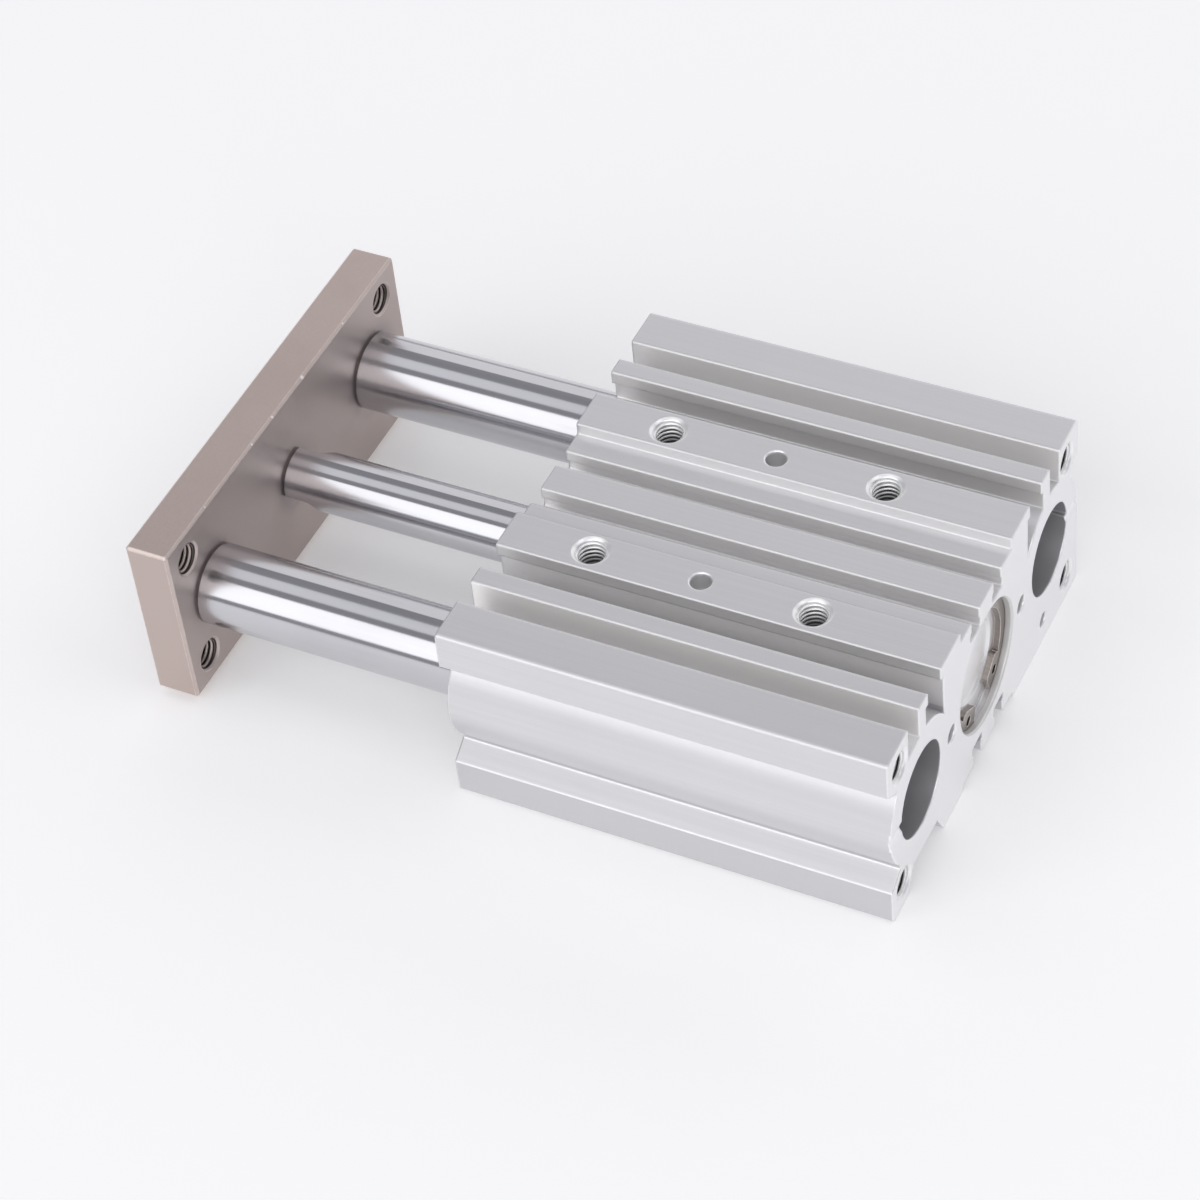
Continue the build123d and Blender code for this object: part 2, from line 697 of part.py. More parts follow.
def guide_wiper(side):
    """Wiper with a lip that leans towards the end plate."""
    inner = guide_rod_radius + sliding_gap
    outer = wiper_radius - seat_gap
    start = wiper_x + seat_gap
    end = wiper_ring_x - seat_gap
    heel = outer - wiper_heel
    lip = inner + wiper_lip
    root = end - wiper_heel
    profile = [(start, lip), (end, inner), (end, lip), (root, heel), (end, heel)]
    profile += [(end, outer), (start, outer)]
    return turned(profile, side * guide_y)


def guide_wiper_ring(side):
    """Small retaining ring in front of the wiper."""
    outer = wiper_radius + ring_groove_depth - 2 * sliding_gap
    size = [wiper_ring_width, wiper_ring_thickness, wiper_ring_ear, wiper_eye_radius]
    ring = retaining_ring(outer, *size)
    return Pos(wiper_ring_x, side * guide_y, 0) * ring


# End plate, screws and plugs


def sunk_hole(y, radius, head):
    """Cutting tool for a countersunk hole through the plate, open towards +X."""
    face = plate_x + plate_thickness
    rim = face - 2 * screw_recess
    wide = head + sliding_gap
    hole = radius + sliding_gap
    start = plate_x - overshoot
    profile = [(start, 0), (start, hole), (rim - (wide - hole), hole), (rim, wide), (face + overshoot, wide)]
    profile += [(face + overshoot, 0)]
    return turned(profile, y)


def end_plate():
    """End plate with bevelled edges, four tapped holes and three countersunk holes."""
    blank = Box(plate_thickness, 2 * plate_half_width, 2 * plate_half_height)
    blank = chamfer(blank.edges(), plate_chamfer)
    blank = Pos(plate_x + plate_thickness / 2, 0, 0) * blank
    cuts = [sunk_hole(0, rod_screw_radius, rod_screw_head)]
    thread = drill(plate_thread_radius, plate_thickness, thread_chamfer)
    hole_z = plate_half_height - plate_thread_inset_z
    for side in sides.values():
        cuts.append(sunk_hole(side * guide_y, guide_screw_radius, guide_screw_head))
        y = side * (plate_half_width - plate_thread_inset_y)
        for z in (hole_z, -hole_z):
            cuts.append(drilled_at(thread, plate_x + plate_thickness, y, z, (1, 0, 0)))
            cuts.append(drilled_at(thread, plate_x, y, z, (-1, 0, 0)))
    return blank - cuts


def guide_rod_screws():
    """The two screws that hold the guide rods to the plate."""
    face = plate_x + plate_thickness
    size = [guide_screw_radius, guide_screw_head, guide_screw_length, guide_screw_socket]
    return [countersunk_screw(face, side * guide_y, *size) for side in sides.values()]


def piston_rod_screw():
    """The screw that holds the piston rod to the plate."""
    face = plate_x + plate_thickness
    return countersunk_screw(face, 0, rod_screw_radius, rod_screw_head, rod_screw_length, rod_screw_socket)


def side_port_plug(x):
    """Socket plug in a side port, set back from the body's side."""
    radius = port_radius - sliding_gap
    blank = Pos(0, 0, -plug_length / 2) * Cylinder(radius, plug_length)
    blank = chamfer(blank.edges().filter_by(GeomType.CIRCLE), screw_bevel)
    socket = extrude(RegularPolygon(plug_socket / 2, 6, major_radius=False), amount=-plug_socket_depth)
    place = Plane(origin=(x, plug_setback - half_width, bottom_z + side_port_z), z_dir=(0, -1, 0))
    return place * (blank - socket)


def passage_ball():
    """Ball that closes the drilling from the rear face."""
    radius = link_radius - seat_gap
    return Pos(ball_depth, -port_y, bottom_z + link_z) * Sphere(radius)


def all_parts():
    """Every piece by its name, each where it sits with the rods fully out."""
    seal_outer = bore_radius - sliding_gap
    magnet_outer = bore_radius - 2 * piston_gap
    rear_bush_x = guide_seat_x + seat_gap
    front_bush_x = wiper_x - seat_gap - guide_bush_length
    parts = {
        "body": [body()],
        "head_cover": [head_cover()],
        "head_cover_ring": [head_cover_ring()],
        "head_cover_o_ring": [cover_o_ring(ring_setback + ring_thickness, rear_seat_depth)],
        "rear_bumper": [bumper(head_inner_x, 1)],
        "rod_cover": [rod_cover()],
        "rod_cover_ring": [rod_cover_ring()],
        "rod_cover_o_ring": [cover_o_ring(body_length - front_seat_depth, front_ring_x)],
        "front_bumper": [bumper(rod_cover_x, -1)],
        "rod_bush": [rod_bush()],
        "rod_seal": [rod_seal()],
        "piston": [piston()],
        "piston_wear_ring": [grooved_ring(0, wear_ring_width, wear_ring_depth, seal_outer)],
        "piston_seal": [grooved_ring(1, piston_seal_width, piston_seal_depth, seal_outer)],
        "piston_magnet": [grooved_ring(2, magnet_width, magnet_depth, magnet_outer)],
        "piston_o_ring": [piston_o_ring()],
        "piston_rod": [piston_rod()],
        "end_plate": [end_plate()],
        "guide_rod_screws": guide_rod_screws(),
        "piston_rod_screw": [piston_rod_screw()],
        "side_port_plugs": [side_port_plug(x) for x in side_port_xs],
        "passage_ball": [passage_ball()],
    }
    for name, side in sides.items():
        parts["guide_rod_" + name] = [guide_rod(side)]
        parts["guide_bush_" + name + "_rear"] = [guide_bush(side, rear_bush_x)]
        parts["guide_bush_" + name + "_front"] = [guide_bush(side, front_bush_x)]
        parts["guide_wiper_" + name] = [guide_wiper(side)]
        parts["guide_wiper_ring_" + name] = [guide_wiper_ring(side)]
    return parts


os.makedirs("parts", exist_ok=True)
for node, pieces in all_parts().items():
    solids = [solid for piece in pieces for solid in piece.solids()]
    shape = solids[0] if len(solids) == 1 else Compound(children=solids)
    export_step(shape, "parts/" + node + ".step")
    print(node, len(solids), round(shape.volume, 1))
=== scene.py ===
import json
import math

import bpy
import numpy as np
from mathutils import Matrix, Vector


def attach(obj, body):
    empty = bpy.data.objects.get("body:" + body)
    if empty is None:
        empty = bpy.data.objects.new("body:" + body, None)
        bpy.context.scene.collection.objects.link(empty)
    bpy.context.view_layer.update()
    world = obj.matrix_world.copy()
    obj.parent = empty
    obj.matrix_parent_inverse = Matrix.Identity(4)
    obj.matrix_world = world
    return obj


# Guided pneumatic cylinder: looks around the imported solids, in metres.
# X runs along the stroke, +Y is the side without ports, +Z is up, and the axis of the bore is at 0, 0.

mm = 0.001
white = (1.0, 1.0, 1.0)


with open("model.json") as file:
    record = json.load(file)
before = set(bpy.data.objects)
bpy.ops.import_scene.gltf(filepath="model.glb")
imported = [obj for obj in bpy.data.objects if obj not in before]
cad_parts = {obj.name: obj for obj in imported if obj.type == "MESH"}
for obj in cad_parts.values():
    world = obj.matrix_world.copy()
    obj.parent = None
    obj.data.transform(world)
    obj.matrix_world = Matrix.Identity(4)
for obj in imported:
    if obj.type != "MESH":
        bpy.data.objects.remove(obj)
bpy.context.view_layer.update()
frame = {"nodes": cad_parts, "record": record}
nodes = frame["nodes"]
print("stage: frame loaded,", len(nodes), "nodes")


cameraSpec = {
    "place": (-171.9 * mm, 429.6 * mm, 496.6 * mm),
    "azimuth": 210.35,  # degrees, 0 looks along +Y
    "elevation": 45.61,
    "roll": -6.84,
    "lens": 111.0,
    "sensor": 36.0,
}


def makeCamera(spec):
    azimuth, elevation, roll = (math.radians(spec[k]) for k in ("azimuth", "elevation", "roll"))
    flat = math.cos(elevation)
    back = Vector((math.sin(azimuth) * flat, -math.cos(azimuth) * flat, math.sin(elevation)))
    right = Vector((math.cos(azimuth), math.sin(azimuth), 0.0))
    up = back.cross(right)
    turnedRight = right * math.cos(roll) + up * math.sin(roll)
    turnedUp = up * math.cos(roll) - right * math.sin(roll)
    data = bpy.data.cameras.new("camera")
    data.sensor_width = spec["sensor"]
    data.lens = spec["lens"]
    data.clip_start = 0.01
    camera = bpy.data.objects.new("camera", data)
    bpy.context.scene.collection.objects.link(camera)
    turn = Matrix((turnedRight, turnedUp, back)).transposed().to_4x4()
    camera.matrix_world = Matrix.Translation(spec["place"]) @ turn
    bpy.context.scene.camera = camera


stageSpec = {
    "floorZ": -21.05 * mm,
    "floorSize": 14.0,
    "floorColour": (0.90, 0.90, 0.905),
    "floorRoughness": 0.9,
    "floorSpecular": 0.2,
    "floorGlow": 0.19,  # stands for the light that a wide studio table gathers
    "worldColour": (0.94, 0.94, 1.0),
    "worldStrength": 0.34,
    "middle": (75.0 * mm, 0.0, 0.0),  # what the panels are turned to
    "panelAway": 2.4,
    "panelLength": 5.0,
}

panelSpecs = {  # degrees above the +Y side, degrees spanned, brightness and colour
    "keyPanel": {"angle": 35.5, "span": 47.0, "bright": 1.34, "colour": white},
    "topPanel": {"angle": 90.0, "span": 28.0, "bright": 0.58, "colour": (0.98, 0.98, 1.0)},
    "backPanel": {"angle": 152.0, "span": 42.0, "bright": 0.62, "colour": (1.0, 0.99, 0.99)},
}

fillSpec = {"place": (-2.1, -0.4, 2.5), "size": 2.0, "bright": 0.6}  # reaches the threads and the rear face


def makePanel(name, place, target, sizeX, sizeY, bright, colour):
    data = bpy.data.lights.new(name, "AREA")
    data.shape = "RECTANGLE"
    data.size, data.size_y = sizeX, sizeY
    data.energy = bright * math.pi * sizeX * sizeY
    data.color = colour
    light = bpy.data.objects.new(name, data)
    bpy.context.scene.collection.objects.link(light)
    back = (Vector(place) - Vector(target)).normalized()
    side = Vector((1.0, 0.0, 0.0)) if abs(back.x) < 0.3 else Vector((0.0, 1.0, 0.0))
    up = back.cross(side).normalized()
    turn = Matrix((up.cross(back), up, back)).transposed().to_4x4()
    light.matrix_world = Matrix.Translation(place) @ turn


def makeFloor(spec):
    half, z = spec["floorSize"] / 2, spec["floorZ"]
    corners = [(-half, -half, z), (half, -half, z), (half, half, z), (-half, half, z)]
    mesh = bpy.data.meshes.new("floor")
    mesh.from_pydata(corners, [], [(0, 1, 2, 3)])
    floor = bpy.data.objects.new("floor", mesh)
    bpy.context.scene.collection.objects.link(floor)
    material = bpy.data.materials.new("floorPaper")
    material.use_nodes = True
    shader = material.node_tree.nodes["Principled BSDF"].inputs
    shader["Base Color"].default_value = (*spec["floorColour"], 1.0)
    shader["Roughness"].default_value = spec["floorRoughness"]
    shader["Specular IOR Level"].default_value = spec["floorSpecular"]
    shader["Emission Color"].default_value = (*white, 1.0)
    shader["Emission Strength"].default_value = spec["floorGlow"]
    mesh.materials.append(material)


def makeStage(spec, panels, fill):
    world = bpy.data.worlds.new("studio")
    bpy.context.scene.world = world
    world.use_nodes = True
    background = world.node_tree.nodes["Background"].inputs
    background["Color"].default_value = (*spec["worldColour"], 1.0)
    background["Strength"].default_value = spec["worldStrength"]
    makeFloor(spec)
    middle = Vector(spec["middle"])
    away, length = spec["panelAway"], spec["panelLength"]
    for name, panel in panels.items():
        angle = math.radians(panel["angle"])
        place = middle + away * Vector((0.0, math.cos(angle), math.sin(angle)))
        width = 2 * away * math.tan(math.radians(panel["span"] / 2))
        makePanel(name, place, middle, length, width, panel["bright"], panel["colour"])
    makePanel("fillPanel", fill["place"], middle, fill["size"], fill["size"], fill["bright"], white)


makeCamera(cameraSpec)
makeStage(stageSpec, panelSpecs, fillSpec)
bpy.context.scene.view_settings.view_transform = "Standard"
print("stage: camera, floor and lights")


def addNode(tree, kind, **settings):
    node = tree.nodes.new(kind)
    for key, value in settings.items():
        setattr(node, key, value)
    return node


def feed(tree, socket, value):  # a number or colour is set, and an output is linked
    if isinstance(value, (int, float)):
        socket.default_value = value
    elif isinstance(value, tuple):
        socket.default_value = (*value, 1.0)
    else:
        tree.links.new(value, socket)


def mathNode(tree, operation, first, second=None):
    node = addNode(tree, "ShaderNodeMath", operation=operation)
    feed(tree, node.inputs[0], first)
    if second is not None:
        feed(tree, node.inputs[1], second)
    return node.outputs[0]


def chain(tree, operation, first, *others):
    for other in others:
        first = mathNode(tree, operation, first, other)
    return first


def times(tree, *values):
    return chain(tree, "MULTIPLY", *values)


def either(tree, *masks):
    return chain(tree, "MAXIMUM", *masks)


def above(tree, value, limit):
    return mathNode(tree, "GREATER_THAN", value, limit)


def under(tree, value, limit):
    return mathNode(tree, "LESS_THAN", value, limit)


def positive(tree, value):
    return mathNode(tree, "ABSOLUTE", value)


def apart(tree, value, place):  # how far a coordinate is from a place
    return positive(tree, mathNode(tree, "SUBTRACT", value, place))


def radiusFrom(tree, pair, centre):  # distance in the plane of two coordinates
    a = mathNode(tree, "SUBTRACT", pair[0], centre[0])
    b = mathNode(tree, "SUBTRACT", pair[1], centre[1])
    return mathNode(tree, "SQRT", mathNode(tree, "ADD", times(tree, a, a), times(tree, b, b)))


def within(tree, pair, centre, radius):  # 1 inside a circle in the plane of two coordinates
    return under(tree, radiusFrom(tree, pair, centre), radius)


def mapRange(tree, value, low, high, toLow=0.0, toHigh=1.0):
    node = addNode(tree, "ShaderNodeMapRange", interpolation_type="SMOOTHSTEP")
    given = {"Value": value, "From Min": low, "From Max": high, "To Min": toLow, "To Max": toHigh}
    for key, number in given.items():
        feed(tree, node.inputs[key], number)
    return node.outputs["Result"]


def mixColour(tree, factor, first, second):
    node = addNode(tree, "ShaderNodeMix", data_type="RGBA")
    for index, value in ((0, factor), (6, first), (7, second)):
        feed(tree, node.inputs[index], value)
    return node.outputs[2]


def mixValue(tree, factor, first, second):
    node = addNode(tree, "ShaderNodeMix", data_type="FLOAT")
    for index, value in ((0, factor), (2, first), (3, second)):
        feed(tree, node.inputs[index], value)
    return node.outputs[0]


def splitVector(tree, vector):
    node = addNode(tree, "ShaderNodeSeparateXYZ")
    tree.links.new(vector, node.inputs[0])
    return node.outputs


def noise(tree, vector, scale, detail, roughness=0.5):
    node = addNode(tree, "ShaderNodeTexNoise")
    given = {"Vector": vector, "Scale": scale, "Detail": detail, "Roughness": roughness}
    for key, value in given.items():
        feed(tree, node.inputs[key], value)
    return node.outputs["Fac"]


def newGroup(name, inputs, outputs):
    group = bpy.data.node_groups.new(name, "ShaderNodeTree")
    group.interface.new_socket("Vector", in_out="INPUT", socket_type="NodeSocketVector")
    for label, value in inputs.items():
        socket = group.interface.new_socket(label, in_out="INPUT", socket_type="NodeSocketFloat")
        socket.default_value = value
    for label, kind in outputs.items():
        group.interface.new_socket(label, in_out="OUTPUT", socket_type="NodeSocket" + kind)
    return group, addNode(group, "NodeGroupInput").outputs, addNode(group, "NodeGroupOutput").inputs


# Edge wear and painted highlight: how far a widely bevelled normal turns from the real one, broken up by
# noise. On the body it lays a painted highlight along the edges.
def makeEdgeGroup():
    values = {"Radius": 0.3 * mm, "Breakup": 0.5}
    group, given, out = newGroup("edgeWearAndHighlight", values, {"Mask": "Float", "Normal": "Vector"})
    bevel = addNode(group, "ShaderNodeBevel", samples=8)
    group.links.new(given["Radius"], bevel.inputs["Radius"])
    geometry = addNode(group, "ShaderNodeNewGeometry")
    dot = addNode(group, "ShaderNodeVectorMath", operation="DOT_PRODUCT")
    group.links.new(bevel.outputs[0], dot.inputs[0])
    group.links.new(geometry.outputs["Normal"], dot.inputs[1])
    turned = mathNode(group, "SUBTRACT", 1.0, dot.outputs["Value"])
    broken = mapRange(group, noise(group, given["Vector"], 700.0, 3.0), 0.35, 0.65)
    keep = mathNode(group, "SUBTRACT", 1.0, times(group, given["Breakup"], broken))
    edge = mapRange(group, turned, 0.002, 0.05)  # a turn of 4 to 18 degrees
    group.links.new(times(group, edge, keep), out["Mask"])
    group.links.new(bevel.outputs[0], out["Normal"])
    return group


# Drawn lines along X: noise squeezed across the part and stretched along it.
def makeGrainGroup():
    group, given, out = newGroup("drawnLines", {"Fineness": 2200.0, "Stretch": 0.01}, {"Value": "Float"})
    x, y, z = splitVector(group, given["Vector"])
    join = addNode(group, "ShaderNodeCombineXYZ")
    for index, value in enumerate((times(group, x, given["Stretch"]), y, z)):
        group.links.new(value, join.inputs[index])
    group.links.new(noise(group, join.outputs[0], given["Fineness"], 4.0, 0.6), out["Value"])
    return group


# Blasted skin: two sizes of round pits, added up.
def makeBlastGroup():
    group, given, out = newGroup("blastedSkin", {"Scale": 6000.0}, {"Value": "Float"})
    fine = times(group, noise(group, given["Vector"], given["Scale"], 2.0), 0.6)
    coarseScale = times(group, given["Scale"], 0.35)
    coarse = times(group, noise(group, given["Vector"], coarseScale, 1.0), 0.4)
    group.links.new(mathNode(group, "ADD", fine, coarse), out["Value"])
    return group


# Turning marks: a sine of the distance to the X axis, one ring to each pitch.
def makeTurningGroup():
    group, given, out = newGroup("turnedRings", {"Pitch": 0.2 * mm}, {"Value": "Float"})
    x, y, z = splitVector(group, given["Vector"])
    phase = mathNode(group, "DIVIDE", radiusFrom(group, (y, z), (0.0, 0.0)), given["Pitch"])
    group.links.new(mathNode(group, "SINE", times(group, phase, 2 * math.pi)), out["Value"])
    return group


# Handling marks: soft patches where a broad noise is high.
def makeSmudgeGroup():
    group, given, out = newGroup("handlingMarks", {"Scale": 40.0, "Amount": 0.5}, {"Mask": "Float"})
    patches = mapRange(group, noise(group, given["Vector"], given["Scale"], 5.0, 0.55), 0.42, 0.68)
    group.links.new(times(group, patches, given["Amount"]), out["Mask"])
    return group


edgeWearAndHighlight = makeEdgeGroup()
drawnLines = makeGrainGroup()
blastedSkin = makeBlastGroup()
turnedRings = makeTurningGroup()
handlingMarks = makeSmudgeGroup()
print("stage: shared effects")


def newMaterial(name):
    material = bpy.data.materials.new(name)
    material.use_nodes = True
    tree = material.node_tree
    coordinates = addNode(tree, "ShaderNodeTexCoord")
    return material, tree, tree.nodes["Principled BSDF"].inputs, coordinates.outputs["Object"]


def useGroup(tree, group, vector, **values):
    node = addNode(tree, "ShaderNodeGroup")
    node.node_tree = group
    tree.links.new(vector, node.inputs["Vector"])
    for key, value in values.items():
        node.inputs[key].default_value = value
    return node.outputs


def bump(tree, height, strength, distance, normal=None):
    node = addNode(tree, "ShaderNodeBump")
    node.inputs["Strength"].default_value = strength
    node.inputs["Distance"].default_value = distance
    tree.links.new(height, node.inputs["Height"])
    if normal is not None:
        tree.links.new(normal, node.inputs["Normal"])
    return node.outputs["Normal"]


rootSpec = {
    "from": 2.7 * mm,  # painted shade darkens the roots of an M6 thread between these two distances from its axis
    "to": 2.92 * mm,
    "limit": 3.1 * mm,  # the wall of the hole lies within this
}


def root(tree, pair, centre):  # 1 at the root of a thread, where painted shade goes, 0 at its crest and outside the hole
    distance = radiusFrom(tree, pair, centre)
    dark = mapRange(tree, distance, rootSpec["from"], rootSpec["to"])
    return times(tree, dark, under(tree, distance, rootSpec["limit"]))


bodyPlaces = {  # where the solids have these forms
    "length": 87.5 * mm,
    "top": 21.0 * mm,
    "skinDepth": 0.03 * mm,  # a hole's wall begins this far below the face
    "middle": 48.3 * mm,  # of the tapped holes on top, where the dowel holes are
    "topHole": (22.0 * mm, 17.0 * mm),  # from that middle along X, and from the axis along Y
    "endHole": (41.0 * mm, 15.5 * mm),  # from the axis along Y and Z
    "sinkRadius": 3.68 * mm,
    "sinkFloor": 20.3 * mm,
    "endDepth": 16.0 * mm,
    "dowel": (0.0, 17.0 * mm),
    "dowelRadius": 2.3 * mm,
    "dowelRim": 20.2 * mm,
    "blind": (17.3 * mm, -0.5 * mm),
    "blindRadius": 2.1 * mm,
    "blindDepth": 10.0 * mm,
    "ballHole": (-28.5 * mm, -15.5 * mm),
    "ballRadius": 1.9 * mm,
    "boreRadius": 13.95 * mm,
    "mouthRadius": 13.6 * mm,
    "mouthDepth": 8.0 * mm,
    "hollow": (32.0 * mm, 0.0),
    "hollowRadius": 9.95 * mm,
    "vent": (44.0 * mm, 0.0),
    "ventRadius": 2.9 * mm,
    "ventDepth": 0.5 * mm,
    "topDark": (18.5 * mm, 14.0 * mm),  # painted shade darkens each hole between two levels
    "endDark": (1.5 * mm, 5.0 * mm),
    "blindDark": (1.2 * mm, 3.5 * mm),
    "topRoot": (19.9 * mm, 18.3 * mm),  # and the painted shade in its thread's roots begins here
    "endRoot": 0.7 * mm,
    "edgeShadeLines": ((7.5 * mm, 18.5 * mm), (12.7 * mm, 21.0 * mm)),  # painted shade in thin dark lines beside edges: y and z, along the near side
    "edgeShadeLineFade": (0.24 * mm, 0.12 * mm),
    "edgeShadeLineLevel": 0.2 * mm,
    "lower": (1.0 * mm, -4.0 * mm),  # the painted shade on the lower sides begins between these levels
    "lowerOutside": 30.0 * mm,
    "slotOutside": 39.0 * mm,  # the slots lie within this, and above the next level
    "slotFloor": 10.0 * mm,
    "shelfWall": 12.5 * mm,
    "shelfFade": (0.3 * mm, 0.5 * mm, 0.45, 1.0),  # only 0.45 of the painted light of the slot walls there
    "narrowWallShade": 21.75 * mm,
    "grooveWall": 32.0 * mm,
    "wallDepth": 0.3 * mm,
}

bodyLook = {
    "skin": (0.765, 0.76, 0.775),
    "skinDark": (0.715, 0.71, 0.725),
    "lowSideShade": (0.655, 0.65, 0.665),  # painted shade on undersides and lower flanges, a shade duller
    "slotWallLight": (0.93, 0.92, 0.905),  # painted light: upright walls of the slots, lighter and warmer than the top
    "narrowWallShade": (0.75, 0.74, 0.73),  # painted shade: upper walls of the T-slots beside the top blocks, darker than the other slot walls
    "grooveWall": (1.0, 0.985, 0.97),  # painted light: outer walls of the thin lips
    "cut": (0.90, 0.895, 0.905),  # sawn and drilled metal under the same anodising, lightened further as painted light on the end faces
    # painted shade inside the hollows behind the rear face
    "hollow": (0.56, 0.56, 0.575),
    "rim": (0.98, 0.98, 0.98),  # countersinks and the first turn of a thread
    "dowel": (0.86, 0.86, 0.86),
    "mouth": (0.72, 0.715, 0.705),  # wall between the bore's edge and its ring
    "groove": (0.10, 0.10, 0.10),  # root of a thread: painted shade, with some dark residue
    "deep": (0.20, 0.20, 0.205),  # painted shade deep in a hole
    # painted highlight in the vent groove
    "vent": (0.97, 0.97, 0.98),
    # painted highlight along the edges, partly wear
    "edge": (0.97, 0.97, 0.98),
    # painted shade in thin lines beside the edges
    "edgeShadeLine": (0.53, 0.525, 0.54),
    "metallic": 0.82,  # the rest is the clouded oxide layer
    "mouthMetallic": 0.35,
    "deepMetallic": 0.3,
    "roughness": 0.42,
    "cutRoughness": 0.36,
    "edgeRadius": 0.56 * mm,
    "edgeRoughness": 0.30,
    "edgeBreakup": 0.2,
    "lineFineness": 1300.0,
    "lineStretch": 0.006,
    "lineContrast": 0.45,
    "patchScale": 18.0,
    "patchAmount": 0.4,
    "skinScale": 5200.0,
    "bumpHeight": 0.018 * mm,
    "bumpStrength": 0.25,
}


# Masks of the body's holes: a circle in the plane across each hole, kept where the hole's wall lies. Several
# carry painted shade (hollows, thread roots, depth) and one a painted highlight (vent).
def bodyMasks(tree, coordinates, at):
    x, y, z = coordinates
    sideY, sideZ = positive(tree, y), positive(tree, z)
    acrossTop = apart(tree, x, at["middle"]), sideY
    acrossEnd = sideY, sideZ
    rearFace = under(tree, x, at["skinDepth"])
    behind = above(tree, x, at["skinDepth"])
    frontFace = above(tree, x, at["length"] - at["skinDepth"])
    topBore = within(tree, acrossTop, at["topHole"], rootSpec["limit"])
    topSink = within(tree, acrossTop, at["topHole"], at["sinkRadius"])
    topHole = either(tree, times(tree, topSink, above(tree, z, at["sinkFloor"])), topBore)
    endHole = within(tree, acrossEnd, at["endHole"], at["sinkRadius"])
    atRear = under(tree, x, at["endDepth"])
    endBore = times(tree, endHole, atRear)
    dowel = within(tree, acrossTop, at["dowel"], at["dowelRadius"])
    dowel = times(tree, dowel, above(tree, z, 0.0))
    blind = within(tree, (sideY, z), at["blind"], at["blindRadius"])
    ballHole = within(tree, (y, z), at["ballHole"], at["ballRadius"])
    blind = times(tree, either(tree, blind, ballHole), under(tree, x, at["blindDepth"]))
    bore = within(tree, acrossEnd, (0.0, 0.0), at["boreRadius"])
    mouth = within(tree, acrossEnd, (0.0, 0.0), at["mouthRadius"])
    hollow = within(tree, (sideY, z), at["hollow"], at["hollowRadius"])
    vent = within(tree, (sideY, z), at["vent"], at["ventRadius"])
    topRim = times(tree, topHole, under(tree, z, at["top"] - at["skinDepth"]))
    dowelRim = times(tree, dowel, above(tree, z, at["dowelRim"]))
    topDeep = times(tree, topBore, mapRange(tree, z, *at["topDark"]))
    endDeep = times(tree, endBore, mapRange(tree, x, *at["endDark"]))
    blindDeep = times(tree, blind, mapRange(tree, x, *at["blindDark"]))
    topRoot = times(tree, root(tree, acrossTop, at["topHole"]), mapRange(tree, z, *at["topRoot"]))
    endRoot = times(tree, root(tree, acrossEnd, at["endHole"]), above(tree, x, at["endRoot"]), atRear)
    return {
        "cut": either(tree, rearFace, frontFace, topHole, endHole, dowel, blind, bore),
        "hollow": times(tree, hollow, behind),
        "dowel": dowel,
        "mouth": times(tree, mouth, under(tree, x, at["mouthDepth"]), behind),
        "rim": either(tree, dowelRim, times(tree, blind, behind), topRim, times(tree, endBore, behind)),
        "groove": either(tree, topRoot, endRoot),
        "deep": either(tree, blindDeep, topDeep, endDeep),
        "vent": times(tree, under(tree, x, at["ventDepth"]), behind, vent),
    }


# Skin outside the holes: drawn lines and patches, painted shade in fine dark lines along the part, painted
# shade on faces low on the sides where they don't look up, painted light on the upright walls in the slots
# and painted shade on their narrow upper walls.
def bodySkin(tree, place, coordinates, lines, at, look):
    _, y, z = coordinates
    sideY = positive(tree, y)
    marks = {"Scale": look["patchScale"], "Amount": look["patchAmount"]}
    patches = useGroup(tree, handlingMarks, place, **marks)["Mask"]
    drawn = mapRange(tree, lines, 0.35, 0.65, 0.0, look["lineContrast"])
    base = mixColour(tree, drawn, look["skin"], look["skinDark"])
    base = mixColour(tree, patches, base, look["skinDark"])
    # painted shade: thin dark lines beside the edges along the near side
    for lineY, lineZ in at["edgeShadeLines"]:
        onLine = mapRange(tree, apart(tree, y, lineY), *at["edgeShadeLineFade"])
        onLevel = under(tree, apart(tree, z, lineZ), at["edgeShadeLineLevel"])
        base = mixColour(tree, times(tree, onLine, onLevel), base, look["edgeShadeLine"])
    normal = splitVector(tree, addNode(tree, "ShaderNodeNewGeometry").outputs["Normal"])
    # painted shade on faces low on the outer sides that don't look up
    low = times(tree, mapRange(tree, z, *at["lower"]), above(tree, sideY, at["lowerOutside"]))
    base = mixColour(tree, times(tree, low, under(tree, normal[2], 0.1)), base, look["lowSideShade"])
    # painted light on the upright slot walls, and painted shade on their narrow upper walls
    upright = above(tree, positive(tree, normal[1]), 0.9)
    wall = times(tree, upright, under(tree, sideY, at["slotOutside"]), above(tree, z, at["slotFloor"]))
    wall = times(tree, wall, mapRange(tree, apart(tree, sideY, at["shelfWall"]), *at["shelfFade"]))
    base = mixColour(tree, wall, base, look["slotWallLight"])
    for name in ("narrowWallShade", "grooveWall"):
        onWall = times(tree, wall, under(tree, apart(tree, sideY, at[name]), at["wallDepth"]))
        base = mixColour(tree, onWall, base, look[name])
    return base
